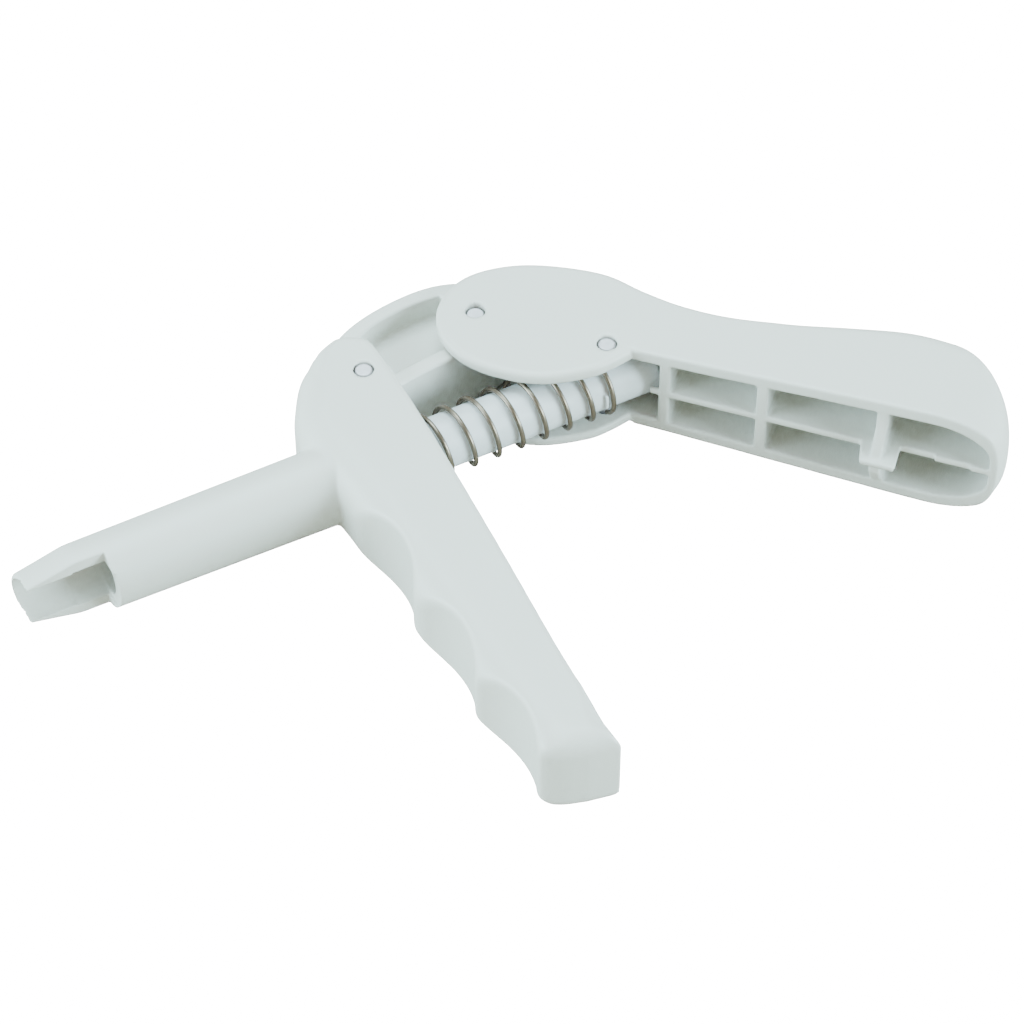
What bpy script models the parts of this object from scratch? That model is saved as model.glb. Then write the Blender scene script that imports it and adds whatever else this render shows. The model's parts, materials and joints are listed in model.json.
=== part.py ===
"""Capsule dispensing gun: a one-hand squeeze gun that pushes a unit-dose capsule out of a nozzle.

It lies on its side: +X runs back along the barrel, the grips hang towards -Y, +Z is the thickness.
A slider-crank drives it. The rear handle turns on the plunger and is tied to the front body by the
arch link, so that squeezing the two grips together pushes the plunger forward in the barrel.
All dimensions are in millimetres and are measured from the plunger pivot, on the barrel's axis.
"""
import math

import bmesh
import bpy
import numpy as np
from mathutils import Matrix

for old in list(bpy.data.objects):
    bpy.data.objects.remove(old, do_unlink=True)

MM = 0.001
PIVOT_PLACE = (26.48, 23.06, 10.8)  # the plunger pivot, from the centre under the whole gun

# Linkage: the pins at rest
PLUNGER_PIVOT = (0.0, 0.0)          # rear handle on the plunger rod
BODY_PIVOT = (-38.8, 13.9)          # arch link on the front body
LINK_PIVOT = (-16.0, 17.3)          # rear handle on the arch link
PIN_R = 1.5
PIN_HOLE_R = 1.8
LINK_SLOT_R = 2.4                   # the link's rear hole is a short slot, wider than its pin
LINK_SLOT_END = (-16.35, 19.05)

# Thicknesses, each as half of the whole
BODY_HALF = 8.5
HANDLE_HALF = 8.8                   # at the lobe
HANDLE_HALF_PALM = 10.8
LINK_HALF = 6.1
CHEEK_GAP_HALF = 6.6                # between the two cheeks of the body, and of the handle
CHEEK_GAP_HALF_PALM = 8.4
WEB_HALF = 0.6                      # the mid web in both grips
TAB_HALF = 0.5
LINK_WEB_HALF = 1.7

# Front body, barrel and nozzle
FRONT_FILLET = 6.0                  # the side that the fingers hold
REAR_FILLET = 0.9
GROOVE_DEPTHS = ((-21.8, -49.5), (-42.8, -49.3), (-62.0, -48.5))    # y of its middle, x of its floor
GROOVE_R = 15.5
GROOVE_HALF_LENGTH = 9.3
TIP_X = -107.3
BARREL_ROOT_X = -49.0
BARREL_R_FRONT = 6.35
BARREL_R_ROOT = 6.8
TAPER_X = -98.0                     # the nozzle narrows from here to its tip
TIP_HALF_HEIGHT = 5.2
TIP_HALF_WIDTH = 4.0
TIP_ROUNDING = 1.3
JAW_EDGE_Y = -1.5                   # the capsule slot is open below this
SLOT_REAR_X = -93.0
SEATS = ((-109.0, -99.8, 2.5), (-100.0, -98.2, 3.1), (-98.4, -92.6, 4.0))   # from, to, half width
SLOT_BORE_R = 3.7
BORE_R = 5.0
BORE_FRONT_X = -88.0
SPRING_SEAT_X = -46.5
GRIP_RIBS = ((-11.0, -28.0), (-30.0, -47.5), (-49.5, -70.0))    # each cell's first and last y

# Plunger and spring
ROD_R = 4.7
ROD_FRONT_X = -66.0
ROD_REAR_X = 8.0
NIB_R = 5.3
NIB_X = {-1: (-2.8, -2.15), 1: (-1.5, -0.7)}
TIP_PIN_R = 1.8
TIP_PIN_FRONT_X = -88.6
TIP_PIN_REAR_X = -58.0
WIRE_R = 0.4
COIL_R = 5.5
SPRING_FRONT_X = -46.1
SPRING_REAR_X = -0.9
SPRING_TURNS = 10.68

# Rear handle: its open side is a flat face that runs from this corner at this angle
HEEL_CORNER = np.array((2.9, -3.6))
OPEN_ANGLE = math.radians(-46.6)
PALM_START = 51.0                   # along the open side, where the rounded palm end begins
PALM_END = 64.6
PALM_BULGE = 1.2                    # the palm end reaches further, at this depth behind the open side
PALM_BULGE_DEPTH = 3.9
PALM_SHAPE = 2.3                    # a superellipse, fuller than an ellipse
CAVITY_END = 62.7
HANDLE_WALL = 2.1
OPEN_RIM_FILLET = 0.8
RIB = 1.9
HANDLE_RIBS = (4.8, 21.9, 42.6)     # front face of each cross rib, along the open side

GREY = (0.66, 0.71, 0.71)
WHITE = (0.72, 0.76, 0.79)
STEEL = (0.62, 0.62, 0.64)
SPRING_STEEL = (0.36, 0.32, 0.28)


def material(name, colour, roughness, metallic=0.0):
    made = bpy.data.materials.new(name)
    made.use_nodes = True
    shader = made.node_tree.nodes["Principled BSDF"]
    shader.inputs["Base Color"].default_value = (*colour, 1.0)
    shader.inputs["Roughness"].default_value = roughness
    shader.inputs["Metallic"].default_value = metallic
    return made


def axis(name, place):
    """An empty on a joint's axis, which that joint's pieces hang on."""
    made = bpy.data.objects.new(name, None)
    made.location = [(a + b) * MM for a, b in zip((*place, 0.0), PIVOT_PLACE)]
    made["place"] = place
    bpy.context.scene.collection.objects.link(made)
    return made


def add(name, mesh, finish, parent):
    """Makes a sub-part of a mesh in the gun's millimetres, with its origin on its parent's axis."""
    x, y = parent["place"]
    mesh.transform(Matrix.Scale(MM, 4) @ Matrix.Translation((-x, -y, 0.0)))
    mesh.materials.clear()
    mesh.materials.append(finish)
    mesh.shade_smooth()
    mesh.set_sharp_from_angle(angle=math.radians(35.0))
    made = bpy.data.objects.new(name, mesh)
    made.parent = parent
    bpy.context.scene.collection.objects.link(made)


# Curves and solids

def smooth(points, steps=5):
    """A curve through the given points, with the slope at each set by its two neighbours."""
    p = np.array(points, float)
    p = np.vstack([2 * p[0] - p[1], p, 2 * p[-1] - p[-2]])
    t = np.linspace(0.0, 1.0, steps, endpoint=False)[:, None]
    spans = [0.5 * (2 * b + (c - a) * t + (2 * a - 5 * b + 4 * c - d) * t**2 + (3 * b - a - 3 * c + d) * t**3)
             for a, b, c, d in zip(p, p[1:], p[2:], p[3:])]
    return np.vstack([*spans, p[-2:-1]])


def arc(centre, radius, start, end, count):
    """Points on an arc, between two angles in degrees."""
    angle = np.radians(np.linspace(start, end, count))
    return np.array(centre) + radius * np.column_stack([np.cos(angle), np.sin(angle)])


def inset(outline, depth):
    """Moves each point of a counter-clockwise outline inwards, mitred at the corners."""
    edge = np.roll(outline, -1, axis=0) - outline
    normal = np.column_stack([edge[:, 1], -edge[:, 0]]) / np.linalg.norm(edge, axis=1)[:, None]
    before = np.roll(normal, 1, axis=0)
    mitre = (normal + before) / (1.0 + (normal * before).sum(axis=1))[:, None]
    return outline - mitre * np.broadcast_to(depth, len(outline))[:, None]


def loft(rings):
    """A closed solid through a stack of rings that have the same number of points."""
    rings = np.array(rings, float)
    count, size = rings.shape[:2]
    faces = [list(range(size)), list(range((count - 1) * size, count * size))]
    for ring in range(count - 1):
        for i in range(size):
            a, b = ring * size + i, ring * size + (i + 1) % size
            faces.append([a, b, b + size, a + size])
    mesh = bpy.data.meshes.new("solid")
    mesh.from_pydata(rings.reshape(-1, 3).tolist(), [], faces)
    form = bmesh.new()
    form.from_mesh(mesh)
    bmesh.ops.recalc_face_normals(form, faces=form.faces)
    form.to_mesh(mesh)
    form.free()
    return mesh


def level(outline, z):
    return np.column_stack([outline, np.full(len(outline), z)])


def slab(outline, low, high, fillet=0.0, steps=3):
    """An outline given thickness. The fillet on its rims is one radius, or one for each point."""
    if np.max(fillet) == 0.0:
        return loft([level(outline, low), level(outline, high)])
    radius = np.broadcast_to(fillet, len(outline))
    rims = []
    for turn in np.linspace(0.0, math.pi / 2, steps + 1):
        ring = inset(outline, radius * (1.0 - math.cos(turn)))
        rims.append((ring, radius * (1.0 - math.sin(turn))))
    below = [np.column_stack([ring, low + drop]) for ring, drop in reversed(rims)]
    above = [np.column_stack([ring, high - drop]) for ring, drop in rims]
    return loft(below + above)


def turned(profile, sides=24):
    """A round piece along X, from (x, radius) pairs."""
    angle = np.linspace(0.0, 2 * math.pi, sides, endpoint=False)
    return loft([np.column_stack([np.full(sides, x), r * np.cos(angle), r * np.sin(angle)])
                 for x, r in profile])


def upright(centre, radius, half, sides=20):
    """A round piece along Z, such as a pin or the drill for its hole."""
    return slab(arc(centre, radius, 0.0, 360.0 * (1 - 1 / sides), sides), -half, half)


def combine(mesh, tool, operation):
    """The Boolean of two solids, as one mesh."""
    base = bpy.data.objects.new("base", mesh)
    other = bpy.data.objects.new("other", tool)
    for made in (base, other):
        bpy.context.scene.collection.objects.link(made)
    step = base.modifiers.new("combine", "BOOLEAN")
    step.operation = operation
    step.solver = "EXACT"
    step.object = other
    graph = bpy.context.evaluated_depsgraph_get()
    result = bpy.data.meshes.new_from_object(base.evaluated_get(graph), depsgraph=graph)
    for made in (base, other):
        bpy.data.objects.remove(made, do_unlink=True)
    return result


def cut(mesh, *tools):
    for tool in tools:
        mesh = combine(mesh, tool, "DIFFERENCE")
    return mesh


def join(mesh, *others):
    for other in others:
        mesh = combine(mesh, other, "UNION")
    return mesh


grey_plastic = material("grey_plastic", GREY, 0.42)
white_plastic = material("white_plastic", WHITE, 0.38)
pin_steel = material("pin_steel", STEEL, 0.3, 1.0)
spring_steel = material("spring_steel", SPRING_STEEL, 0.28, 1.0)

body_frame = axis("body_frame", PLUNGER_PIVOT)
plunger_slide = axis("plunger_slide", PLUNGER_PIVOT)
handle_axis = axis("handle_axis", PLUNGER_PIVOT)
link_axis = axis("link_axis", BODY_PIVOT)


# Front body: barrel, head and finger grip in one moulding

def body_outline():
    """The outline in the gun's plane, and how far its rims are rounded at each point."""
    head = smooth([(-34.6, 17.0), (-35.1, 20.2), (-37.6, 22.2), (-40.5, 22.8), (-44.0, 22.5),
                   (-47.9, 19.9), (-51.0, 15.4), (-53.5, 10.2), (-54.2, 4.0), (-53.4, -4.0)])
    front = smooth([(-53.4, -4.0), (-52.9, -12.0), (-52.5, -32.0), (-52.1, -52.5), (-51.4, -66.0),
                    (-50.3, -70.2), (-47.6, -72.4), (-43.6, -73.8)], 4)
    rear = smooth([(-38.7, -68.0), (-38.7, -57.0), (-36.7, -30.0), (-34.9, -1.0), (-34.6, 17.0)], 3)
    outline = np.vstack([head[:-1], front, [(-38.3, -74.8)], rear[:-1]])
    x, y = outline.T
    round_front = np.clip((-40.0 - x) / 6.0, 0.0, 1.0) * np.clip((y + 75.5) / 8.0, 0.4, 1.0)
    fillet = REAR_FILLET + (FRONT_FILLET - REAR_FILLET) * round_front
    fillet = np.maximum(fillet, 3.6 * np.clip((-60.0 - y) / 10.0, 0.0, 1.0))
    return outline, fillet


def nozzle_half_sizes(x):
    """Half height and half width of the barrel at x, which is round up to the nozzle's taper."""
    round_r = BARREL_R_FRONT + (BARREL_R_ROOT - BARREL_R_FRONT) * (x + 96.0) / (BARREL_ROOT_X + 96.0)
    if x >= TAPER_X:
        return round_r, round_r
    t = (TAPER_X - x) / (TAPER_X - TIP_X)
    return round_r + (TIP_HALF_HEIGHT - round_r) * t, round_r + (TIP_HALF_WIDTH - round_r) * t


def barrel():
    angle = np.linspace(0.0, 2 * math.pi, 32, endpoint=False)
    stations = [(x, 0.0) for x in (BARREL_ROOT_X, TAPER_X + 1.0, TAPER_X - 1.0, TIP_X + TIP_ROUNDING)]
    for turn in np.radians((30.0, 60.0, 90.0)):
        stations.append((TIP_X + TIP_ROUNDING * (1 - math.sin(turn)), TIP_ROUNDING * (1 - math.cos(turn))))
    rings = []
    for x, back in stations:
        high, wide = nozzle_half_sizes(x)
        rings.append(np.column_stack([np.full(32, x), (high - back) * np.cos(angle),
                                      (wide - back) * np.sin(angle)]))
    return loft(rings)


def seat(x_from, x_to, half_width):
    """Cutter for a round-floored channel, open towards -Y."""
    floor = arc((0.0, 0.0), half_width, -90.0, 90.0, 13)
    section = np.vstack([[JAW_EDGE_Y - 8.0, -half_width], floor, [JAW_EDGE_Y - 8.0, half_width]])
    return loft([np.column_stack([np.full(len(section), x), section]) for x in (x_from, x_to)])


def finger_groove(y_mid, x_floor):
    """Cutter for one finger groove: a shallow arc through the whole thickness."""
    spread = math.degrees(math.asin(GROOVE_HALF_LENGTH / GROOVE_R))
    floor = arc((x_floor - GROOVE_R, y_mid), GROOVE_R, -spread, spread, 13)
    outside = [(-58.0, y_mid + GROOVE_HALF_LENGTH), (-58.0, y_mid - GROOVE_HALF_LENGTH)]
    return slab(np.vstack([floor, outside]), -12.0, 12.0)


def grip_cell(y_top, y_low, side):
    """Cutter for one pocket of the open rear side, above or below the mid web."""
    rings = []
    for y in np.linspace(y_top, y_low, 6):
        depth = -47.6 + 1.6 * (-11.0 - y) / 60.0
        roof = 6.2 if y > -64.0 else 6.2 - 1.6 * ((-64.0 - y) / 6.0) ** 2
        rings.append([(x, y, side * z) for x, z in ((-25.0, WEB_HALF), (-25.0, roof), (depth + 1.5, roof),
                                                   (depth, roof - 1.5), (depth, WEB_HALF))])
    return loft(rings)


outline, fillet = body_outline()
body = join(slab(outline, -BODY_HALF, BODY_HALF, fillet, 5), barrel())
head_slot = np.array([(SPRING_SEAT_X, -7.0), (-25.0, -7.0), (-25.0, 30.0), (-43.7, 30.0), (-44.1, 19.9),
                      (-46.1, 17.5), (-47.3, 13.6), (-47.7, 9.5), (-47.2, 7.0), (SPRING_SEAT_X, 7.0)])
body = cut(body,
           slab(head_slot, -CHEEK_GAP_HALF, CHEEK_GAP_HALF),
           turned([(BORE_FRONT_X, BORE_R), (SPRING_SEAT_X + 2.0, BORE_R)]),
           *(seat(*sizes) for sizes in SEATS),
           turned([(SLOT_REAR_X - 1.0, SLOT_BORE_R), (BORE_FRONT_X + 1.0, SLOT_BORE_R)]),
           slab(np.array([(-112.0, -12.0), (SLOT_REAR_X, -12.0), (SLOT_REAR_X, JAW_EDGE_Y),
                          (-112.0, JAW_EDGE_Y)]), -12.0, 12.0),
           *(finger_groove(*sizes) for sizes in GROOVE_DEPTHS),
           *(grip_cell(*ends, side) for ends in GRIP_RIBS for side in (1, -1)),
           upright(BODY_PIVOT, PIN_HOLE_R, 12.0))
add("front_body", body, grey_plastic, body_frame)


# Rear handle: two cheeks at the lobe, and an open-sided palm grip with ribs

def place(along, out):
    """A point given by its distance along the open face, and out of it."""
    c, s = math.cos(OPEN_ANGLE), math.sin(OPEN_ANGLE)
    return HEEL_CORNER + np.outer(along, (c, s)) + np.outer(out, (s, -c))


def along_out(points):
    c, s = math.cos(OPEN_ANGLE), math.sin(OPEN_ANGLE)
    return (points - HEEL_CORNER) @ np.array([(c, s), (s, -c)]).T


def half_thickness(along, at_lobe, at_palm, end):
    """Half thickness of the handle, or of its cavity: it flares, then closes as an ellipse."""
    flared = at_lobe + (at_palm - at_lobe) * np.clip(along / PALM_START, 0.0, 1.0)
    closing = np.clip((along - PALM_START) / (end - PALM_START), 0.0, 0.995)
    return flared * (1.0 - closing ** PALM_SHAPE) ** (1 / PALM_SHAPE)


def handle_outline():
    palm_corner = place([PALM_END - 0.4], [0.0])[0]
    palm = smooth([palm_corner, (50.4, -48.8), (52.7, -45.2), (54.0, -40.8), (54.3, -35.2), (53.2, -30.4),
                   (50.4, -26.2), (45.5, -21.4), (37.5, -16.0)], 6)
    neck = smooth([(37.5, -16.0), (29.4, -10.8), (21.6, -4.6), (15.8, 1.8), (11.8, 8.0), (8.2, 14.6),
                   (2.4, 20.0), (-4.2, 23.8), (-11.6, 25.9)], 6)
    lobe = smooth([(-11.6, 25.9), (-17.2, 24.3), (-21.8, 20.5), (-23.8, 14.6), (-22.8, 8.4), (-19.0, 2.7),
                   (-13.2, -1.9), (-5.6, -4.2), (-1.0, -4.2), tuple(HEEL_CORNER)], 5)
    return np.vstack([[HEEL_CORNER], palm[:-1], neck[:-1], lobe[:-1]]), len(palm) + len(neck) - 2


def flare(mesh):
    """Thickens a slab from the lobe to the palm, and domes its palm end."""
    form = bmesh.new()
    form.from_mesh(mesh)
    c, s = math.cos(OPEN_ANGLE), math.sin(OPEN_ANGLE)
    dome = PALM_START + (PALM_END - PALM_START) * np.sin(np.radians((0, 18, 36, 50, 62, 72, 80)))
    for station in (0.0, *dome):
        x, y = HEEL_CORNER + station * np.array((c, s))
        bmesh.ops.bisect_plane(form, geom=form.verts[:] + form.edges[:] + form.faces[:],
                               plane_co=(x, y, 0.0), plane_no=(c, s, 0.0))
    for vert in form.verts:
        along, out = along_out(np.array(vert.co[:2]))
        end = PALM_END + max(0.0, PALM_BULGE * (1.0 - (1.0 + out / PALM_BULGE_DEPTH) ** 2))
        vert.co.z *= half_thickness(along, HANDLE_HALF, HANDLE_HALF_PALM, end) / HANDLE_HALF
    form.to_mesh(mesh)
    form.free()
    return mesh


def handle_cell(start, end, side, inner):
    """Cutter for one pocket between two ribs, above or below the mid web."""
    deep = along_out(inner)
    deep = deep[np.argsort(deep[:, 0])]
    rings = []
    stops = end - (end - start) * (1 - np.sin(np.linspace(0.0, math.pi / 2, 10)))
    for along in stops:
        back = np.interp(along, *deep.T)
        roof = half_thickness(along, CHEEK_GAP_HALF, CHEEK_GAP_HALF_PALM, CAVITY_END + 0.3)
        corner = min(2.0, (roof - WEB_HALF) / 2)
        for_z = ((4.0, WEB_HALF), (4.0, roof), (back + corner, roof), (back, roof - corner), (back, WEB_HALF))
        rings.append([(*place([along], [out])[0], side * z) for out, z in for_z])
    return loft(rings)


def tab(along, out):
    """A thin tab in the plane of the mid web, from an outline in the open face's own directions."""
    return slab(place(along, out), -TAB_HALF, TAB_HALF)


def rib_hook():
    """The last rib's outer edge, which swells out to the middle of the grip."""
    start = HANDLE_RIBS[2]
    edge = smooth([(7.6, -0.4), (5.0, 0.6), (2.4, 2.2), (0.4, 3.4), (-3.0, 3.2), (-6.0, 1.6), (-7.6, 0.1)], 3)
    side = np.vstack([[(7.6, -3.0)], edge, [(-7.6, -3.0)]])
    return loft([[(*place([along], [out])[0], z) for z, out in side] for along in (start + 0.1, start + RIB - 0.1)])


outline, lobe_start = handle_outline()
along = along_out(outline)[:, 0]
fillet = 1.0 + 2.2 * np.clip((along - 20.0) / 30.0, 0.0, 1.0)
fillet[:2] = OPEN_RIM_FILLET
inner = inset(outline, HANDLE_WALL)
back_wall = inner[14:lobe_start]
cavity_ends = [(HANDLE_RIBS[0] + RIB, HANDLE_RIBS[1]), (HANDLE_RIBS[1] + RIB, HANDLE_RIBS[2]),
               (HANDLE_RIBS[2] + RIB, CAVITY_END - 0.4)]
lobe_wall = inner[along_out(inner)[:, 0] < HANDLE_RIBS[0]]
lobe_wall = lobe_wall[(lobe_wall[:, 1] > 4.0) & (lobe_wall[:, 0] > -11.0)]
lobe_cavity = np.vstack([place([HANDLE_RIBS[0]], [5.0]), place([HANDLE_RIBS[0]], [-11.0]), lobe_wall,
                         [(-11.0, 34.0), (-34.0, 34.0), (-34.0, -14.0), (-2.0, -14.0)]])
handle = cut(flare(slab(outline, -HANDLE_HALF, HANDLE_HALF, fillet)),
             slab(lobe_cavity, -CHEEK_GAP_HALF, CHEEK_GAP_HALF),
             *(handle_cell(*ends, side, back_wall) for ends in cavity_ends for side in (1, -1)))
handle = join(handle,
              tab((39.9, 41.1, 47.2, 46.8), (-2.0, 4.3, 4.5, -2.0)),
              rib_hook(), tab((3.2, 5.4, 5.4, 3.2), (-1.1, -1.1, -0.1, -0.1)))
handle = cut(handle, upright(LINK_PIVOT, PIN_HOLE_R, 12.0), upright(PLUNGER_PIVOT, PIN_HOLE_R, 12.0))
add("rear_handle", handle, grey_plastic, handle_axis)


# Arch link: an I-section between the head's cheeks and the lobe's cheeks

def link_outline():
    crown = smooth([(-12.4, 23.8), (-13.6, 26.6), (-18.4, 28.4), (-24.3, 28.6), (-31.2, 27.5), (-36.8, 25.5),
                    (-40.4, 22.9), (-43.2, 18.6)], 4)
    front_boss = arc(BODY_PIVOT, 6.3, 135.0, 265.0, 10)
    underside = smooth([(-37.6, 7.9), (-33.8, 10.2), (-29.2, 11.1), (-24.0, 11.5), (-20.0, 11.6)], 3)
    rear_boss = arc(LINK_PIVOT, 5.6, -90.0, 30.0, 9)
    return np.vstack([crown, front_boss, underside, rear_boss])


def link_pocket(side):
    """Cutter for the pocket between the crown flange and the lower flange, on one side of the web."""
    under_crown = smooth([(-18.6, 25.6), (-24.8, 25.8), (-30.9, 24.8), (-34.4, 23.4), (-36.8, 21.8)], 4)
    round_pin = arc(BODY_PIVOT, 5.2, 62.0, -14.0, 8)
    above_rib = smooth([(-32.4, 13.0), (-28.7, 13.5), (-24.1, 13.9), (-21.6, 14.0)], 2)
    round_slot = arc(LINK_PIVOT, 4.7, 218.0, 112.0, 8)
    ring = np.vstack([under_crown, round_pin, above_rib, round_slot])
    low, high = sorted((side * LINK_WEB_HALF, side * (LINK_HALF + 2.0)))
    return slab(ring, low, high)


def slot(start, end, radius, half):
    """Drill for a short slot between two points."""
    way = math.degrees(math.atan2(end[1] - start[1], end[0] - start[0]))
    ring = np.vstack([arc(start, radius, way + 90, way + 270, 12), arc(end, radius, way - 90, way + 90, 12)])
    return slab(ring, -half, half)


link = cut(slab(link_outline(), -LINK_HALF, LINK_HALF, 0.5, 2), link_pocket(1), link_pocket(-1),
           upright(BODY_PIVOT, PIN_HOLE_R, 12.0), slot(LINK_PIVOT, LINK_SLOT_END, LINK_SLOT_R, 12.0))
add("arch_link", link, grey_plastic, link_axis)


# Plunger rod with its steel push tip, and the spring round it

def nib(y_side):
    """One of the two small shoulders that hold the spring's rear end."""
    x0, x1 = NIB_X[y_side]
    y0, y1 = sorted((y_side * (ROD_R - 0.6), y_side * NIB_R))
    return slab(np.array([(x0, y0), (x1, y0), (x1, y1), (x0, y1)]), -1.6, 1.6)


rod = turned([(ROD_FRONT_X, ROD_R - 0.8), (ROD_FRONT_X + 0.8, ROD_R), (ROD_REAR_X - 0.5, ROD_R),
              (ROD_REAR_X, ROD_R - 0.5)], 28)
rod = cut(join(rod, nib(1), nib(-1)), upright(PLUNGER_PIVOT, PIN_HOLE_R, 12.0),
          turned([(ROD_FRONT_X - 1.0, TIP_PIN_R + 0.3), (TIP_PIN_REAR_X + 0.3, TIP_PIN_R + 0.3)], 16))
add("plunger_rod", rod, white_plastic, plunger_slide)
add("push_tip", turned([(TIP_PIN_FRONT_X, TIP_PIN_R - 0.4), (TIP_PIN_FRONT_X + 0.4, TIP_PIN_R),
                        (TIP_PIN_REAR_X, TIP_PIN_R)], 16), pin_steel, plunger_slide)


def spring():
    """Round wire on a helix, whose last turn at each end lies closed."""
    turn = np.linspace(0.0, SPRING_TURNS, int(SPRING_TURNS * 18) + 1)
    pitch = np.clip(np.minimum(turn, 2.0 * (SPRING_TURNS - turn)), 0.0, 1.0)
    climb = np.concatenate([[0.0], np.cumsum((pitch[1:] + pitch[:-1]) / 2)])
    length = SPRING_REAR_X - SPRING_FRONT_X - 2 * WIRE_R
    x = SPRING_FRONT_X + WIRE_R + length * climb / climb[-1]
    angle = 2 * math.pi * turn
    spine = np.column_stack([x, COIL_R * np.cos(angle), COIL_R * np.sin(angle)])
    ahead = np.gradient(spine, axis=0)
    ahead /= np.linalg.norm(ahead, axis=1)[:, None]
    outwards = np.column_stack([np.zeros_like(x), np.cos(angle), np.sin(angle)])
    across = np.cross(ahead, outwards)
    round_wire = np.linspace(0.0, 2 * math.pi, 6, endpoint=False)[None, :, None]
    rings = spine[:, None] + WIRE_R * (np.cos(round_wire) * outwards[:, None] + np.sin(round_wire) * across[:, None])
    return loft(rings)


add("return_spring", spring(), spring_steel, body_frame)


# Pins
add("body_pin", upright(BODY_PIVOT, PIN_R, BODY_HALF - 0.2), pin_steel, body_frame)
add("link_pin", upright(LINK_PIVOT, PIN_R, HANDLE_HALF - 0.9), pin_steel, handle_axis)
add("rod_pin", upright(PLUNGER_PIVOT, PIN_R, HANDLE_HALF - 0.3), pin_steel, handle_axis)
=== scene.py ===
import json
import math

import bpy
import numpy as np
from mathutils import Matrix, Vector


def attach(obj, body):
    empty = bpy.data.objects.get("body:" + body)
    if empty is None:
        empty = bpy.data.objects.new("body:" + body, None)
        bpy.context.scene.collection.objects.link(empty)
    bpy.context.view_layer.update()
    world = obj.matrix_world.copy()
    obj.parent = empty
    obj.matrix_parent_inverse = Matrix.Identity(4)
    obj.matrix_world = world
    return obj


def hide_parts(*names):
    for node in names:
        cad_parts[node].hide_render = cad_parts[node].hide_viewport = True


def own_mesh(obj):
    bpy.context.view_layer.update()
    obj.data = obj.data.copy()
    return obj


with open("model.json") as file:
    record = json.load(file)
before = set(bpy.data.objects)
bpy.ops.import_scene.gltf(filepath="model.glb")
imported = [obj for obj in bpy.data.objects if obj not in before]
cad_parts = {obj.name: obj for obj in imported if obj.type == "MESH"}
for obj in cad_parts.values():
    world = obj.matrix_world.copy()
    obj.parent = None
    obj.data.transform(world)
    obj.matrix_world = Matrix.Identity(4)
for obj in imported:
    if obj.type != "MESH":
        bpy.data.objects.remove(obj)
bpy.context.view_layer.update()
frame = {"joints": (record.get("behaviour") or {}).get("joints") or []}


# Stage: a bright sheet that only the camera sees, a warm grey table above it that only passes light
# back to the gun, a dim warm room, three cool soft lamps, and the camera, above the gun's left side.
# Sheets and lamps are placed in metres. The camera and every piece of the gun are placed in
# millimetres from the plunger pivot, which is on the barrel's axis.

PIVOT = np.array(next(j["pos_m"] for j in frame["joints"] if j["name"] == "handle_hinge")) * 1000.0


def place(point):
    """A point in millimetres from the pivot, as metres in the frame of the whole gun."""
    return Vector((np.array(point, float) + PIVOT) / 1000.0)


camera = bpy.data.objects.new("camera", bpy.data.cameras.new("camera"))
bpy.context.scene.collection.objects.link(camera)
right = Vector((0.88458, -0.46639, 0.0))
up = Vector((0.34659, 0.65737, 0.66913))
camera.matrix_world = (Matrix.Translation(place((-216.7025, -376.7495, 448.6)))
                       @ Matrix((right, up, right.cross(up))).transposed().to_4x4())
camera.data.lens = 128.99
camera.data.sensor_width = 36.0
camera.data.clip_start = 0.01
bpy.context.scene.camera = camera


def sheet(name, height, colour, glow):
    """A wide flat sheet, matt, with a glow of its own."""
    mesh = bpy.data.meshes.new(name)
    mesh.from_pydata([(-3, -3, height), (3, -3, height), (3, 3, height), (-3, 3, height)], [], [(0, 1, 2, 3)])
    matt = bpy.data.materials.new(name)
    matt.use_nodes = True
    shader = matt.node_tree.nodes["Principled BSDF"]
    shader.inputs["Base Color"].default_value = (*colour, 1)
    shader.inputs["Roughness"].default_value = 0.9
    shader.inputs["Emission Color"].default_value = (1, 1, 1, 1)
    shader.inputs["Emission Strength"].default_value = glow
    mesh.materials.append(matt)
    made = bpy.data.objects.new(name, mesh)
    bpy.context.scene.collection.objects.link(made)
    return made


table = sheet("table", 0.0, (0.42, 0.39, 0.33), 0.0)
table.visible_camera = False
light_table = sheet("light_table", -0.002, (0.9, 0.9, 0.9), 22.0)
light_table.visible_diffuse = False
light_table.visible_glossy = False
light_table.visible_shadow = False

room = bpy.data.worlds.new("room")
room.use_nodes = True
room.node_tree.nodes["Background"].inputs["Color"].default_value = (1.0, 0.92, 0.74, 1)
room.node_tree.nodes["Background"].inputs["Strength"].default_value = 0.62
bpy.context.scene.world = room


LAMP_TINT = (0.68, 0.93, 1.0)


def softbox(name, where, size, power):
    """A square lamp that looks at the gun."""
    lamp = bpy.data.lights.new(name, "AREA")
    lamp.shape = "SQUARE"
    lamp.size = size
    lamp.energy = power
    lamp.color = LAMP_TINT
    holder = bpy.data.objects.new(name, lamp)
    holder.location = where
    holder.rotation_euler = Vector(where).to_track_quat("Z", "Y").to_euler()
    bpy.context.scene.collection.objects.link(holder)


softbox("overhead", (0.05, 0.35, 0.95), 0.7, 19.0)
softbox("right_front", (0.8, -0.85, 0.4), 0.6, 38.0)
softbox("left_rear", (-1.0, 0.25, 0.3), 0.6, 28.0)


# Front body: barrel, head and finger grip, moulded in one piece of light grey plastic. Its sides are
# flat, the side that the fingers hold is rounded and grooved, and the side towards the palm is open.

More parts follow.
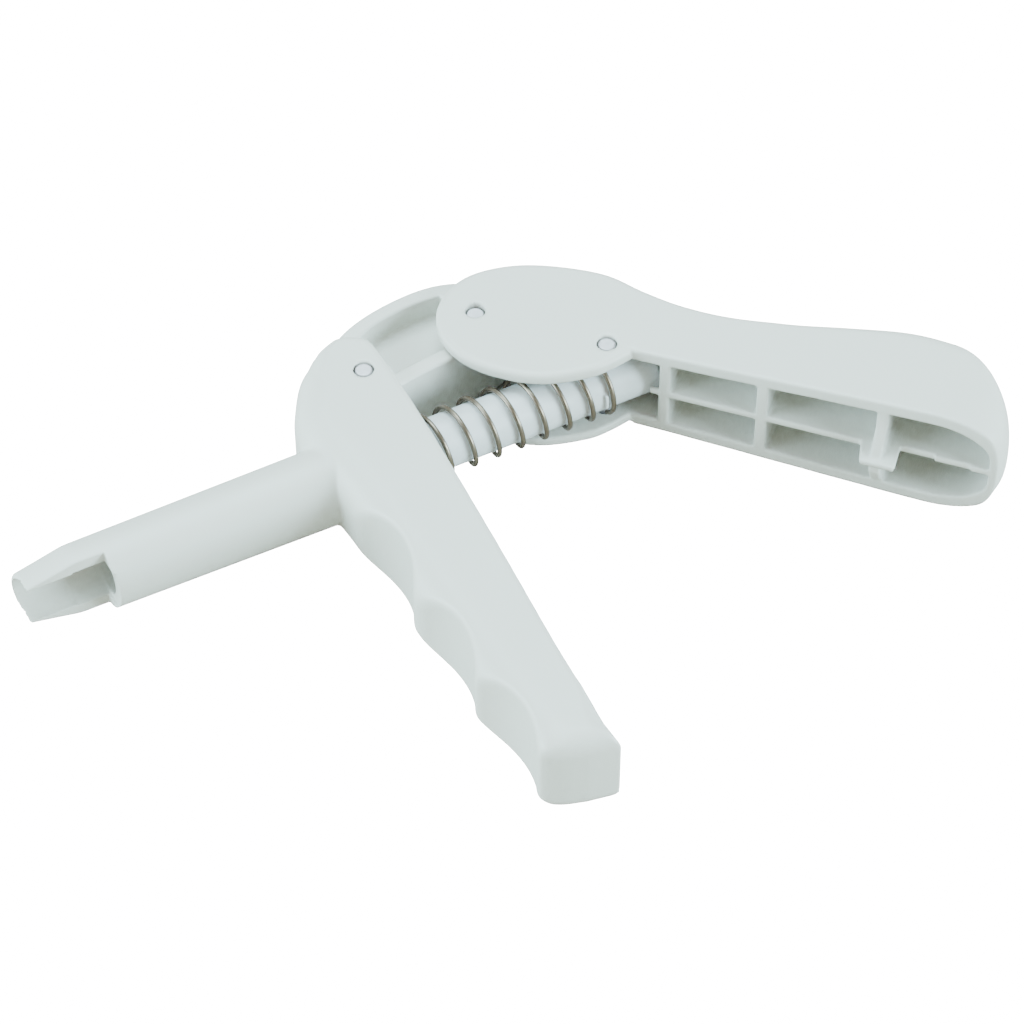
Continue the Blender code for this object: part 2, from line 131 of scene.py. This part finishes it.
class Wire:
    """A socket of a material's nodes, which takes part in arithmetic as a number does."""

    def __init__(self, tree, socket):
        self.tree, self.socket = tree, socket

    def math(self, operation, *others):
        made = self.tree.nodes.new("ShaderNodeMath")
        made.operation = operation
        for port, value in zip(made.inputs, others):
            if isinstance(value, Wire):
                self.tree.links.new(value.socket, port)
            else:
                port.default_value = value
        return Wire(self.tree, made.outputs[0])

    def __add__(self, other):
        return self.math("ADD", self, other)

    def __radd__(self, other):
        return self.math("ADD", other, self)

    def __rmul__(self, other):
        return self.math("MULTIPLY", other, self)


class Finish:
    """A material under construction: its node tree, and its one surface shader."""

    def __init__(self, name, **constants):
        self.material = bpy.data.materials.new(name)
        self.material.use_nodes = True
        self.tree = self.material.node_tree
        self.shader = self.tree.nodes["Principled BSDF"]
        for socket, value in constants.items():
            self.shader.inputs[socket.replace("_", " ")].default_value = value

    def node(self, kind, output=0, settings=None, **values):
        """A node of that type. Its settings come first, then its sockets' values or links."""
        made = self.tree.nodes.new("ShaderNode" + kind)
        for name, value in (settings or {}).items():
            setattr(made, name, value)
        for name, value in values.items():
            port = made.inputs[name.replace("_", " ")]
            if isinstance(value, Wire):
                self.tree.links.new(value.socket, port)
            else:
                port.default_value = value
        return Wire(self.tree, made.outputs[output])

    def feed(self, socket, wire):
        self.tree.links.new(wire.socket, self.shader.inputs[socket])


def moulded_plastic(name, colour, shade, rough):
    """Satin plastic from a steel mould. Its colour drifts a little between two tints over a centimetre
    or two, its gloss is cloudy, and a fine spark-eroded grain with faint flow marks lies on it."""
    made = Finish(name, Specular_IOR_Level=0.45)
    spot = made.node("TexCoord", "Object")
    cloud = made.node("TexNoise", "Fac", Vector=spot, Scale=55.0, Detail=3.0, Roughness=0.55)
    grain = made.node("TexNoise", "Fac", Vector=spot, Scale=5200.0, Detail=2.0, Roughness=0.6)
    flow = made.node("TexNoise", "Fac", Vector=spot, Scale=160.0, Detail=2.0, Distortion=0.6)
    tint = made.node("Mix", 2, {"data_type": "RGBA"}, Factor=cloud)
    mixer = tint.socket.node
    mixer.inputs[6].default_value = (*colour, 1)
    mixer.inputs[7].default_value = (*shade, 1)
    made.feed("Base Color", tint)
    made.feed("Roughness", rough - 0.05 + 0.1 * cloud + 0.03 * grain)
    relief = grain + 6.0 * flow
    made.feed("Normal", made.node("Bump", "Normal", Height=relief, Strength=0.18, Distance=0.00003))
    return made.material


grey_plastic = moulded_plastic("grey_plastic", (0.685, 0.70, 0.665), (0.67, 0.685, 0.65), 0.42)


def curve_through(points, steps=8):
    """A curve through the points: cubic pieces whose slope at each point is set by its two neighbours."""
    p = np.array(points, float)
    p = np.vstack([2 * p[0] - p[1], p, 2 * p[-1] - p[-2]])
    t = np.arange(0.0, 1.0, 1.0 / steps)[:, None]
    a, b, c, d = (p[i:len(p) - 3 + i, None] for i in range(4))
    spans = 0.5 * (2 * b + (c - a) * t + (2 * a - 5 * b + 4 * c - d) * t**2 + (3 * b - a - 3 * c + d) * t**3)
    return np.vstack([spans.reshape(-1, 2), p[-2:-1]])


def distance_to(outline, step=0.35, margin=6.0):
    """Distance in the gun's plane to a closed outline, negative inside. It is worked out to every edge
    of the outline on a lattice, and read between the lattice's points by bilinear interpolation."""
    start = np.array(outline, np.float32)
    edge = np.roll(start, -1, axis=0) - start
    low = start.min(axis=0) - margin
    count = np.ceil((start.max(axis=0) + margin - low) / step).astype(int) + 1
    x, y = (low[i] + step * np.arange(count[i], dtype=np.float32) for i in (0, 1))
    away_x = x[:, None, None] - start[:, 0]
    away_y = y[None, :, None] - start[:, 1]
    along = np.clip((away_x * edge[:, 0] + away_y * edge[:, 1]) / (edge**2).sum(axis=1), 0.0, 1.0)
    distance = np.hypot(away_x - along * edge[:, 0], away_y - along * edge[:, 1]).min(axis=2)
    above, next_above = away_y < 0, away_y - edge[:, 1] < 0
    with np.errstate(divide="ignore", invalid="ignore"):
        crossing = (above != next_above) & (away_x < edge[:, 0] * away_y / edge[:, 1])
    lattice = np.where(crossing.sum(axis=2) % 2 == 1, -distance, distance).astype(float)

    def read(x, y):
        u = np.clip((x - low[0]) / step, 0.0, count[0] - 1.001)
        v = np.clip((y - low[1]) / step, 0.0, count[1] - 1.001)
        i, j = u.astype(int), v.astype(int)
        u, v = u - i, v - j
        return ((1 - u) * ((1 - v) * lattice[i, j] + v * lattice[i, j + 1])
                + u * ((1 - v) * lattice[i + 1, j] + v * lattice[i + 1, j + 1]))

    return read


def both(a, b, round_over=0.0):
    """Field of what lies in both solids, its edge rounded over: the larger of two fields, and more where
    they are near to each other."""
    if not round_over:
        return np.maximum(a, b)
    near = np.maximum(round_over - np.abs(a - b), 0.0)
    return np.maximum(a, b) + near**2 / (4 * round_over)


def either(a, b, fillet=0.0):
    """Field of what lies in one solid or the other, with a fillet between them."""
    return -both(-a, -b, fillet)


def rounded(side, face, radius):
    """Field of a plate from its distances to its rim and its faces, with a quarter circle between."""
    u, v = side + radius, face + radius
    return np.minimum(np.maximum(u, v), 0.0) + np.hypot(np.maximum(u, 0.0), np.maximum(v, 0.0)) - radius


def drill(x, y, centre, radius):
    return np.hypot(x - centre[0], y - centre[1]) - radius


def skin(field, low, high, step):
    """Points and faces of the surface where a field of space is zero. Space is cut into cubes. Each cube
    that the surface crosses gets one point, the mean of the crossings on its edges, and each cube edge
    that it crosses gets a face between the four cubes round it. The points then slide along the field's
    slope onto the surface: p - f(p) * slope / slope squared, a few times."""
    x, y, z = (np.arange(a - 2 * step, b + 3 * step, step) for a, b in zip(low, high))
    value = field(x[:, None, None], y[None, :, None], z[None, None, :])
    rings, keys, places = [], [], []
    for k, (u, v) in enumerate(((1, 2), (2, 0), (0, 1))):
        a, b = (np.take(value, range(i, value.shape[k] - 1 + i), axis=k) for i in (0, 1))
        crossed = (a < 0) != (b < 0)
        corner = np.argwhere(crossed)
        a, b = a[crossed], b[crossed]
        spot = corner.astype(float)
        spot[:, k] += a / (a - b)
        ring = np.repeat(corner[:, None], 4, axis=1)
        ring[:, :, u] -= (0, 1, 1, 0)
        ring[:, :, v] -= (0, 0, 1, 1)
        ring = np.ravel_multi_index(np.moveaxis(ring, 2, 0), value.shape)
        rings.append(np.where((a < 0)[:, None], ring, ring[:, ::-1]))
        places.append(np.repeat(spot, 4, axis=0))
    used, number = np.unique(np.concatenate(rings), return_inverse=True)
    number = number.reshape(-1)
    share = np.bincount(number)
    places = np.concatenate(places)
    points = np.stack([np.bincount(number, places[:, i]) / share for i in range(3)], axis=1)
    points = points * step + (x[0], y[0], z[0])
    for _ in range(4):
        nudges = np.eye(3) * 0.02
        slope = np.stack([field(*(points + h).T) - field(*(points - h).T) for h in nudges], axis=1) / 0.04
        move = (field(*points.T) / np.maximum((slope**2).sum(axis=1), 0.05))[:, None] * slope
        points -= np.clip(move, -0.4 * step, 0.4 * step)
    return points, number.reshape(-1, 4)


def fit(name, points, faces, finish, slot, body, *nodes):
    """Makes a piece of points in millimetres from the pivot and four-sided faces, and fits it to a body
    in place of the frame's own nodes."""
    mesh = bpy.data.meshes.new(name)
    mesh.vertices.add(len(points))
    mesh.vertices.foreach_set("co", ((points + PIVOT) / 1000.0).astype(np.float32).ravel())
    mesh.loops.add(faces.size)
    mesh.loops.foreach_set("vertex_index", faces.astype(np.int32).ravel())
    mesh.polygons.add(len(faces))
    mesh.polygons.foreach_set("loop_start", np.arange(0, faces.size, 4, dtype=np.int32))
    mesh.update(calc_edges=True)
    mesh.shade_smooth()
    mesh.materials.append(finish)
    piece = bpy.data.objects.new(name, mesh)
    bpy.context.scene.collection.objects.link(piece)
    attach(piece, body)
    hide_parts(*nodes)
    return piece


BODY_PIVOT = (-38.8, 13.9)
PIN_HOLE_R = 1.8
BORE_R = 5.0
BODY_HALF = 8.5
GAP_HALF = 6.6
GROOVE_R = 15.5
GROOVES = ((-21.8, -49.5), (-42.8, -49.3), (-62.0, -48.5))
GRIP_POCKETS = ((-11.0, -28.0), (-30.0, -47.5), (-49.5, -70.0))
head = curve_through([(-34.6, 17.0), (-35.1, 20.2), (-37.6, 22.2), (-40.5, 22.8), (-44.0, 22.5),
                      (-47.9, 19.9), (-51.0, 15.4), (-53.5, 10.2), (-54.2, 4.0), (-53.4, -4.0)])
finger_side = curve_through([(-53.4, -4.0), (-52.9, -12.0), (-52.5, -32.0), (-52.1, -52.5), (-51.4, -66.0),
                             (-50.3, -70.2), (-47.6, -72.4), (-43.6, -73.8)])
palm_side = curve_through([(-38.7, -68.0), (-38.7, -57.0), (-36.7, -30.0), (-34.9, -1.0), (-34.6, 17.0)], 4)
body_rim = distance_to(np.vstack([head[:-1], finger_side, [(-38.3, -74.8)], palm_side[:-1]]))
head_slot = distance_to(np.array([(-46.5, -7.0), (-25.0, -7.0), (-25.0, 30.0), (-43.7, 30.0), (-44.1, 19.9),
                                  (-46.1, 17.5), (-47.3, 13.6), (-47.7, 9.5), (-47.2, 7.0), (-46.5, 7.0)]))


def barrel_radius(x):
    """The barrel is a little thicker at its root: its radius grows by 0.45 mm over 47 mm."""
    return 6.35 + 0.45 * (x + 96.0) / 47.0


def grip_and_head(x, y, z):
    """A plate 17 mm thick with rounded rims: 6 mm on the finger side, 3.6 mm at the end of the grip and
    0.9 mm towards the palm. Three wide cylinders cut the finger grooves, and the barrel's root joins on.
    A gap for the arch link and the bore for the plunger open the head, and pockets on both sides of a web
    lighten the grip."""
    front = np.clip((-40.0 - x) / 6.0, 0.0, 1.0) * np.clip((y + 75.5) / 8.0, 0.4, 1.0)
    radius = np.maximum(0.9 + 5.1 * front, 3.6 * np.clip((-60.0 - y) / 10.0, 0.0, 1.0))
    solid = rounded(body_rim(x, y), np.abs(z) - BODY_HALF, radius)
    for y_mid, x_floor in GROOVES:
        solid = both(solid, -drill(x, y, (x_floor - GROOVE_R, y_mid), GROOVE_R), 0.9)
    root = np.hypot(y, z) - barrel_radius(x) + 0.05 * np.maximum(-58.0 - x, 0.0)
    solid = either(solid, both(root, np.maximum(x + 46.0, -61.0 - x)), 0.6)
    solid = both(solid, -both(head_slot(x, y), np.abs(z) - GAP_HALF, 0.5), 0.4)
    solid = both(solid, -both(np.hypot(y, z) - BORE_R, x + 44.5), 0.3)
    for top, end in GRIP_POCKETS:
        pocket = both(both(y - top, end - y, 0.5), -47.6 - 1.6 * (y + 11.0) / 60.0 - x, 3.0)
        pocket = both(pocket, both(0.6 - np.abs(z), np.abs(z) - 6.2), 1.0)
        solid = both(solid, -pocket, 0.4)
    return both(solid, -drill(x, y, BODY_PIVOT, PIN_HOLE_R), 0.12)


points, faces = skin(grip_and_head, (-64.0, -75.5, -BODY_HALF), (-34.0, 23.5, BODY_HALF), 0.4)
fit("grip_and_head", points, faces, grey_plastic, "grey_plastic", "body", "front_body")


# Nozzle: the front of the same moulding. It narrows to an oval tip, and its lower half is cut away
# so that a capsule slides in between the two jaws, against stepped seats.

TIP_X = -107.3
TAPER_X = -98.0
SLOT_REAR_X = -93.0
JAW_EDGE_Y = -1.5
PASSAGE_R = 4.0
SEATS = ((-112.0, -99.8, 2.3), (-100.2, -98.2, 3.1), (-98.6, -92.6, PASSAGE_R))


def nozzle(x, y, z):
    """A round bar whose section turns to an oval of 10.4 by 8 mm at the tip. The seats are round-floored
    channels in three widths, open towards the grips, and the passage behind them leads to the bore."""
    taper = either(both((TAPER_X - x) / (TAPER_X - TIP_X), 0.0, 0.12), 1.2)
    thick = barrel_radius(x)
    high, wide = thick + (5.2 - thick) * taper, thick + (4.0 - thick) * taper
    solid = rounded((np.hypot(y / high, z / wide) - 1.0) * wide, TIP_X - x, 1.0)
    solid = both(solid + 0.05 * np.maximum(x + 58.0, 0.0), x + 56.0)
    trough = np.where(y < 0.0, np.abs(z), np.hypot(y, z))
    for front, rear, half in SEATS:
        solid = both(solid, -np.maximum(trough - half, np.maximum(front - x, x - rear)), 0.12)
    solid = both(solid, -both(y - JAW_EDGE_Y, x - SLOT_REAR_X, 0.2), 0.2)
    solid = both(solid, -both(np.hypot(y, z) - PASSAGE_R, x + 87.0), 0.15)
    return both(solid, -both(np.hypot(y, z) - BORE_R, -88.0 - x), 0.2)


points, faces = skin(nozzle, (TIP_X, -7.0, -7.0), (-56.0, 7.0, 7.0), 0.23)
fit("nozzle", points, faces, grey_plastic, "grey_plastic", "body", "front_body")


# Arch link: the same plastic, an I-beam bent over the plunger. It turns on a pin in the head, and its
# rear boss lies between the cheeks of the rear handle.

LINK_PIVOT = (-16.0, 17.3)
LINK_HALF = 6.1
LINK_WEB_HALF = 1.7
SLOT_SHIFT = np.array((-0.35, 1.75))


def arc(centre, radius, start, end, count):
    """Points on an arc between two angles in degrees."""
    angle = np.radians(np.linspace(start, end, count))
    return np.array(centre) + radius * np.column_stack([np.cos(angle), np.sin(angle)])


crown = curve_through([(-12.4, 23.8), (-13.6, 26.6), (-18.4, 28.4), (-24.3, 28.6), (-31.2, 27.5),
                       (-36.8, 25.5), (-40.4, 22.9), (-43.2, 18.6)])
underside = curve_through([(-37.6, 7.8), (-33.8, 9.7), (-29.2, 10.6), (-24.0, 11.1), (-20.0, 11.4)])
link_rim = distance_to(np.vstack([crown, arc(BODY_PIVOT, 6.3, 135.0, 265.0, 24), underside,
                                  arc(LINK_PIVOT, 5.6, -90.0, 30.0, 20)]), 0.25)
link_pocket = distance_to(np.vstack([
    curve_through([(-18.6, 25.6), (-24.8, 25.8), (-30.9, 24.8), (-34.4, 23.4), (-36.8, 21.8)]),
    arc(BODY_PIVOT, 5.2, 62.0, -14.0, 16),
    curve_through([(-32.4, 13.0), (-28.7, 13.5), (-24.1, 13.9), (-21.6, 14.0)]),
    arc(LINK_PIVOT, 4.7, 218.0, 112.0, 16)]), 0.25)


def link(x, y, z):
    """A plate 12.2 mm thick, with a pocket on each side down to a web. The front hole is round, and the
    rear one is a circle swept along a short line."""
    solid = rounded(link_rim(x, y), np.abs(z) - LINK_HALF, 0.5)
    solid = both(solid, -both(link_pocket(x, y), LINK_WEB_HALF - np.abs(z), 0.8), 0.35)
    solid = both(solid, -drill(x, y, BODY_PIVOT, PIN_HOLE_R), 0.2)
    u, v = x - LINK_PIVOT[0], y - LINK_PIVOT[1]
    along = np.clip((u * SLOT_SHIFT[0] + v * SLOT_SHIFT[1]) / (SLOT_SHIFT**2).sum(), 0.0, 1.0)
    return both(solid, 2.4 - np.hypot(u - SLOT_SHIFT[0] * along, v - SLOT_SHIFT[1] * along), 0.2)


points, faces = skin(link, (-45.5, 7.0, -LINK_HALF), (-10.0, 29.0, LINK_HALF), 0.33)
fit("link", points, faces, grey_plastic, "grey_plastic", "link", "arch_link")


# Plunger: a smooth round rod of whiter plastic with two nibs, one before and one behind the spring's
# last turn, and a steel push tip pressed into its front.

ROD_R = 4.7
white_plastic = moulded_plastic("white_plastic", (0.70, 0.745, 0.775), (0.685, 0.73, 0.76), 0.36)


def rod(x, y, z):
    """A bar 9.4 mm across with rounded ends, two small blocks on it, a socket for the push tip and a
    cross hole for the pin."""
    radial = np.hypot(y, z)
    solid = rounded(radial - ROD_R, np.maximum(x - 8.0, -66.0 - x), 0.3)
    nibs = both(np.abs(np.where(y < 0.0, x + 2.5, x + 1.1)) - 0.37, np.abs(z) - 1.6, 0.15)
    nibs = both(nibs, both(radial - 5.25, 3.0 - radial), 0.2)
    solid = either(solid, nibs, 0.2)
    solid = both(solid, -both(radial - 2.1, x + 57.7), 0.2)
    return both(solid, -drill(x, y, (0.0, 0.0), PIN_HOLE_R), 0.2)


points, faces = skin(rod, (-66.0, -5.4, -5.4), (8.0, 5.4, 5.4), 0.3)
fit("rod", points, faces, white_plastic, "white_plastic", "plunger", "plunger_rod")


def plain_steel(name, colour, rough):
    """Plain steel: faint stains in its colour and gloss, a fine grain, and a soft shine."""
    made = Finish(name, Metallic=1.0)
    spot = made.node("TexCoord", "Object")
    stain = made.node("TexNoise", "Fac", Vector=spot, Scale=900.0, Detail=3.0)
    grain = made.node("TexNoise", "Fac", Vector=spot, Scale=9000.0, Detail=2.0)
    tint = made.node("Mix", 2, {"data_type": "RGBA"}, Factor=stain)
    tint.socket.node.inputs[6].default_value = (*colour, 1)
    tint.socket.node.inputs[7].default_value = (*(0.8 * part for part in colour), 1)
    made.feed("Base Color", tint)
    made.feed("Roughness", rough + 0.12 * stain)
    made.feed("Normal", made.node("Bump", "Normal", Height=grain, Strength=0.15, Distance=0.00002))
    return made.material


pin_steel = plain_steel("pin_steel", (0.66, 0.65, 0.69), 0.45)


def lathe(profile, sides=48):
    """A closed round piece: pairs of length and radius, carried round the axis."""
    length, radius = np.array(profile, float).T
    turn = np.linspace(0.0, 2 * math.pi, sides, endpoint=False)
    grid = np.stack(np.broadcast_arrays(radius[:, None] * np.cos(turn), radius[:, None] * np.sin(turn),
                                        length[:, None]), axis=2)
    ring, side = np.meshgrid(np.arange(len(length) - 1), np.arange(sides), indexing="ij")
    corner, beside = ring * sides + side, ring * sides + (side + 1) % sides
    quads = [corner, beside, beside + sides, corner + sides]
    return grid.reshape(-1, 3), np.stack(quads, axis=2).reshape(-1, 4)


points, faces = lathe([(-88.6, 0.02), (-88.6, 1.3), (-88.5, 1.5), (-88.2, 1.75), (-87.9, 1.8), (-58.2, 1.8),
                       (-58.0, 1.7), (-58.0, 0.02)], 32)
fit("tip_pin", points[:, [2, 0, 1]], faces, pin_steel, "pin_steel", "plunger", "push_tip")


# Return spring: round steel wire wound over the rod. Its front end sits in the head and its rear end
# between the rod's nibs. The turns lie closer together at both ends.

spring_steel = plain_steel("spring_steel", (0.27, 0.225, 0.18), 0.28)
WIRE_R = 0.43
COIL_R = 5.5
SPRING_FRONT_X = -46.1
SPRING_REAR_X = -0.9
TURNS = 10.68
STEPS_PER_TURN = 48
WIRE_SIDES = 16


def coil():
    """A circle carried along a helix, whose pitch fades over the first turn and the last half turn."""
    turn = np.linspace(0.0, TURNS, int(TURNS * STEPS_PER_TURN) + 1)
    pitch = np.clip(np.minimum(turn, 2.0 * (TURNS - turn)), 0.0, 1.0)
    climb = np.concatenate([[0.0], np.cumsum((pitch[1:] + pitch[:-1]) / 2)])
    x = SPRING_FRONT_X + WIRE_R + (SPRING_REAR_X - SPRING_FRONT_X - 2 * WIRE_R) * climb / climb[-1]
    angle = 2 * math.pi * turn
    spine = np.column_stack([x, COIL_R * np.cos(angle), COIL_R * np.sin(angle)])
    ahead = np.gradient(spine, axis=0)
    ahead /= np.linalg.norm(ahead, axis=1)[:, None]
    outwards = np.column_stack([np.zeros_like(x), np.cos(angle), np.sin(angle)])
    across = np.cross(ahead, outwards)
    wire = np.linspace(0.0, 2 * math.pi, WIRE_SIDES, endpoint=False)[None, :, None]
    size = np.full(len(spine), WIRE_R)
    size[[0, -1]] = 0.02
    circle = np.cos(wire) * outwards[:, None] + np.sin(wire) * across[:, None]
    tube = spine[:, None] + size[:, None, None] * circle
    ring, side = np.meshgrid(np.arange(len(spine) - 1), np.arange(WIRE_SIDES), indexing="ij")
    corner, beside = ring * WIRE_SIDES + side, ring * WIRE_SIDES + (side + 1) % WIRE_SIDES
    quads = [corner, corner + WIRE_SIDES, beside + WIRE_SIDES, beside]
    return tube.reshape(-1, 3), np.stack(quads, axis=2).reshape(-1, 4)


points, faces = coil()
spring = fit("spring", points, faces, spring_steel, "spring_steel", "body", "return_spring")
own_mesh(spring)


# Rear handle: one grey moulding. Two flat cheeks at the front hold the link and the rod, and the palm
# grip behind them is a shell, open towards the fingers, with three cross ribs and a web in the middle.

HEEL = np.array((2.9, -3.6))
WALL = 2.1
PALM_WALL = 1.9
WEB_HALF = 0.6
HANDLE_POCKETS = ((6.7, 21.9), (23.8, 42.6), (44.5, 62.6))
OPEN_ANGLE = math.radians(-46.6)
C, S = math.cos(OPEN_ANGLE), math.sin(OPEN_ANGLE)


def from_heel(points):
    """The gun's plane seen from the open side: distance along it, and depth behind it."""
    return (np.atleast_2d(points) - HEEL) @ np.array([(C, -S), (S, C)])


back = from_heel(curve_through([
    (47.0, -50.25), (50.4, -48.8), (52.7, -45.2), (54.0, -40.8), (54.3, -35.2), (53.2, -30.4), (50.4, -26.2),
    (45.5, -21.4), (37.5, -16.0), (29.4, -10.8), (21.6, -4.6), (15.8, 1.8), (11.8, 8.0), (8.2, 14.6),
    (2.4, 20.0), (-4.4, 24.1), (-11.6, 25.7), (-17.3, 24.4), (-21.8, 20.5), (-23.8, 14.6), (-22.8, 8.4),
    (-19.0, 2.7), (-13.2, -1.9), (-5.6, -4.2), (-1.0, -4.2), tuple(HEEL)]))
handle_rim = distance_to(np.vstack([back, [(0.0, -30.0), (back[0, 0], -30.0)]]), 0.4)


def dome(along, z, at_lobe, at_palm, end):
    """Distance above a flat side that flares from the lobe to the palm, then closes as a superellipse."""
    half = at_lobe + (at_palm - at_lobe) * either(both(along / 51.0, 0.0, 0.3), 1.0, 0.2)
    closing = np.maximum((along - 51.0) / (end - 51.0), 0.0)
    return half * ((closing**2.3 + (np.abs(z) / half) ** 2.3) ** (1 / 2.3) - 1.0)


def rear_grip(a, d, z):
    """The outline given thickness, with rims of 1 mm at the lobe and 3.2 mm at the palm, cut flat on the
    open side. Inside it, the gap between the cheeks, and a pocket for each space between two ribs. Two low
    steps lower the web's edge, and a tongue, a tab and a stop stand out of the open side."""
    x, y = HEEL[0] + a * C - d * S, HEEL[1] + a * S + d * C
    rim = handle_rim(a, d)
    radius = 1.0 + 2.2 * np.clip((a - 20.0) / 30.0, 0.0, 1.0)
    solid = rounded(rim, dome(a, z, 8.8, 10.8, 65.6), radius)
    solid = both(solid, -np.maximum(d, -a), 0.45)
    gap = np.minimum(np.minimum(rim + WALL, x + 11.0), d - 6.0)
    gap = both(both(gap, a - 4.8, 0.3), np.abs(z) - GAP_HALF, 0.5)
    solid = both(solid, -gap, 0.4)
    roof = dome(a, z, 6.6, 8.4, 63.0)
    for start, end in HANDLE_POCKETS:
        between = both(both(start - a, a - end), WEB_HALF - np.abs(z))
        pocket = both(both(rim + PALM_WALL, roof, 0.9), between, 0.5)
        solid = both(solid, -pocket, 0.25)
    steps = np.maximum(d - 0.4 * ((a < 59.0) * 1.0 + (a < 52.9)), np.maximum(46.0 - a, a - 62.0))
    solid = both(solid, -np.maximum(steps, np.abs(z) - 0.8), 0.15)
    edge = np.interp(z, (-7.6, -6.0, -3.0, 0.4, 2.4, 5.0, 7.6), (0.1, 1.6, 3.2, 3.4, 2.2, 0.6, -0.4))
    tongue = both(both(np.abs(a - 43.55) - 0.95, -d - edge, 0.3), np.maximum(d - 2.0, np.abs(z) - 7.9), 0.2)
    tab = both(both(39.9 + (2.0 - d) * 0.19 - a, a - 46.8 - (2.0 - d) * 0.06, 0.3), -4.4 - d, 0.8)
    tab = both(both(tab, d - 2.0), np.abs(z) - 0.55, 0.2)
    stop = both(both(np.abs(a - 4.1) - 0.9, np.abs(d - 0.6) - 0.5, 0.3), np.abs(z) - 0.5, 0.2)
    solid = either(either(either(solid, tongue, 0.3), tab, 0.3), stop, 0.2)
    for pivot in ((0.0, 0.0), LINK_PIVOT):
        solid = both(solid, -drill(x, y, pivot, PIN_HOLE_R), 0.12)
    return solid


low, high = back.min(axis=0), back.max(axis=0)
points, faces = skin(rear_grip, (low[0], min(low[1], -4.6), -10.8), (high[0] + 1.0, high[1], 10.8), 0.42)
points = np.column_stack([HEEL + points[:, :2] @ np.array([(C, S), (-S, C)]), points[:, 2]])
fit("rear_grip", points, faces, grey_plastic, "grey_plastic", "handle", "rear_handle")


# Pins: three steel pins, pressed in from the side. Their ends are flat, with a rolled edge, and lie
# level with the plastic or a little below it, the link's pin deepest.

def pin(half):
    """A profile of length and radius, from one flat end over its rolled edge to the other end."""
    end = [(half, 0.02), (half, 1.16), (half, 1.26), (half - 0.05, 1.38), (half - 0.14, 1.47),
           (half - 0.4, 1.5)]
    return lathe(end + [(-length, radius) for length, radius in reversed(end)])


for name, pivot, half, body, node in (("head_pin", BODY_PIVOT, 8.3, "body", "body_pin"),
                                      ("rod_end_pin", (0.0, 0.0), 8.5, "handle", "rod_pin"),
                                      ("lobe_pin", LINK_PIVOT, 7.9, "handle", "link_pin")):
    points, faces = pin(half)
    fit(name, points + (*pivot, 0.0), faces, pin_steel, "pin_steel", body, node)
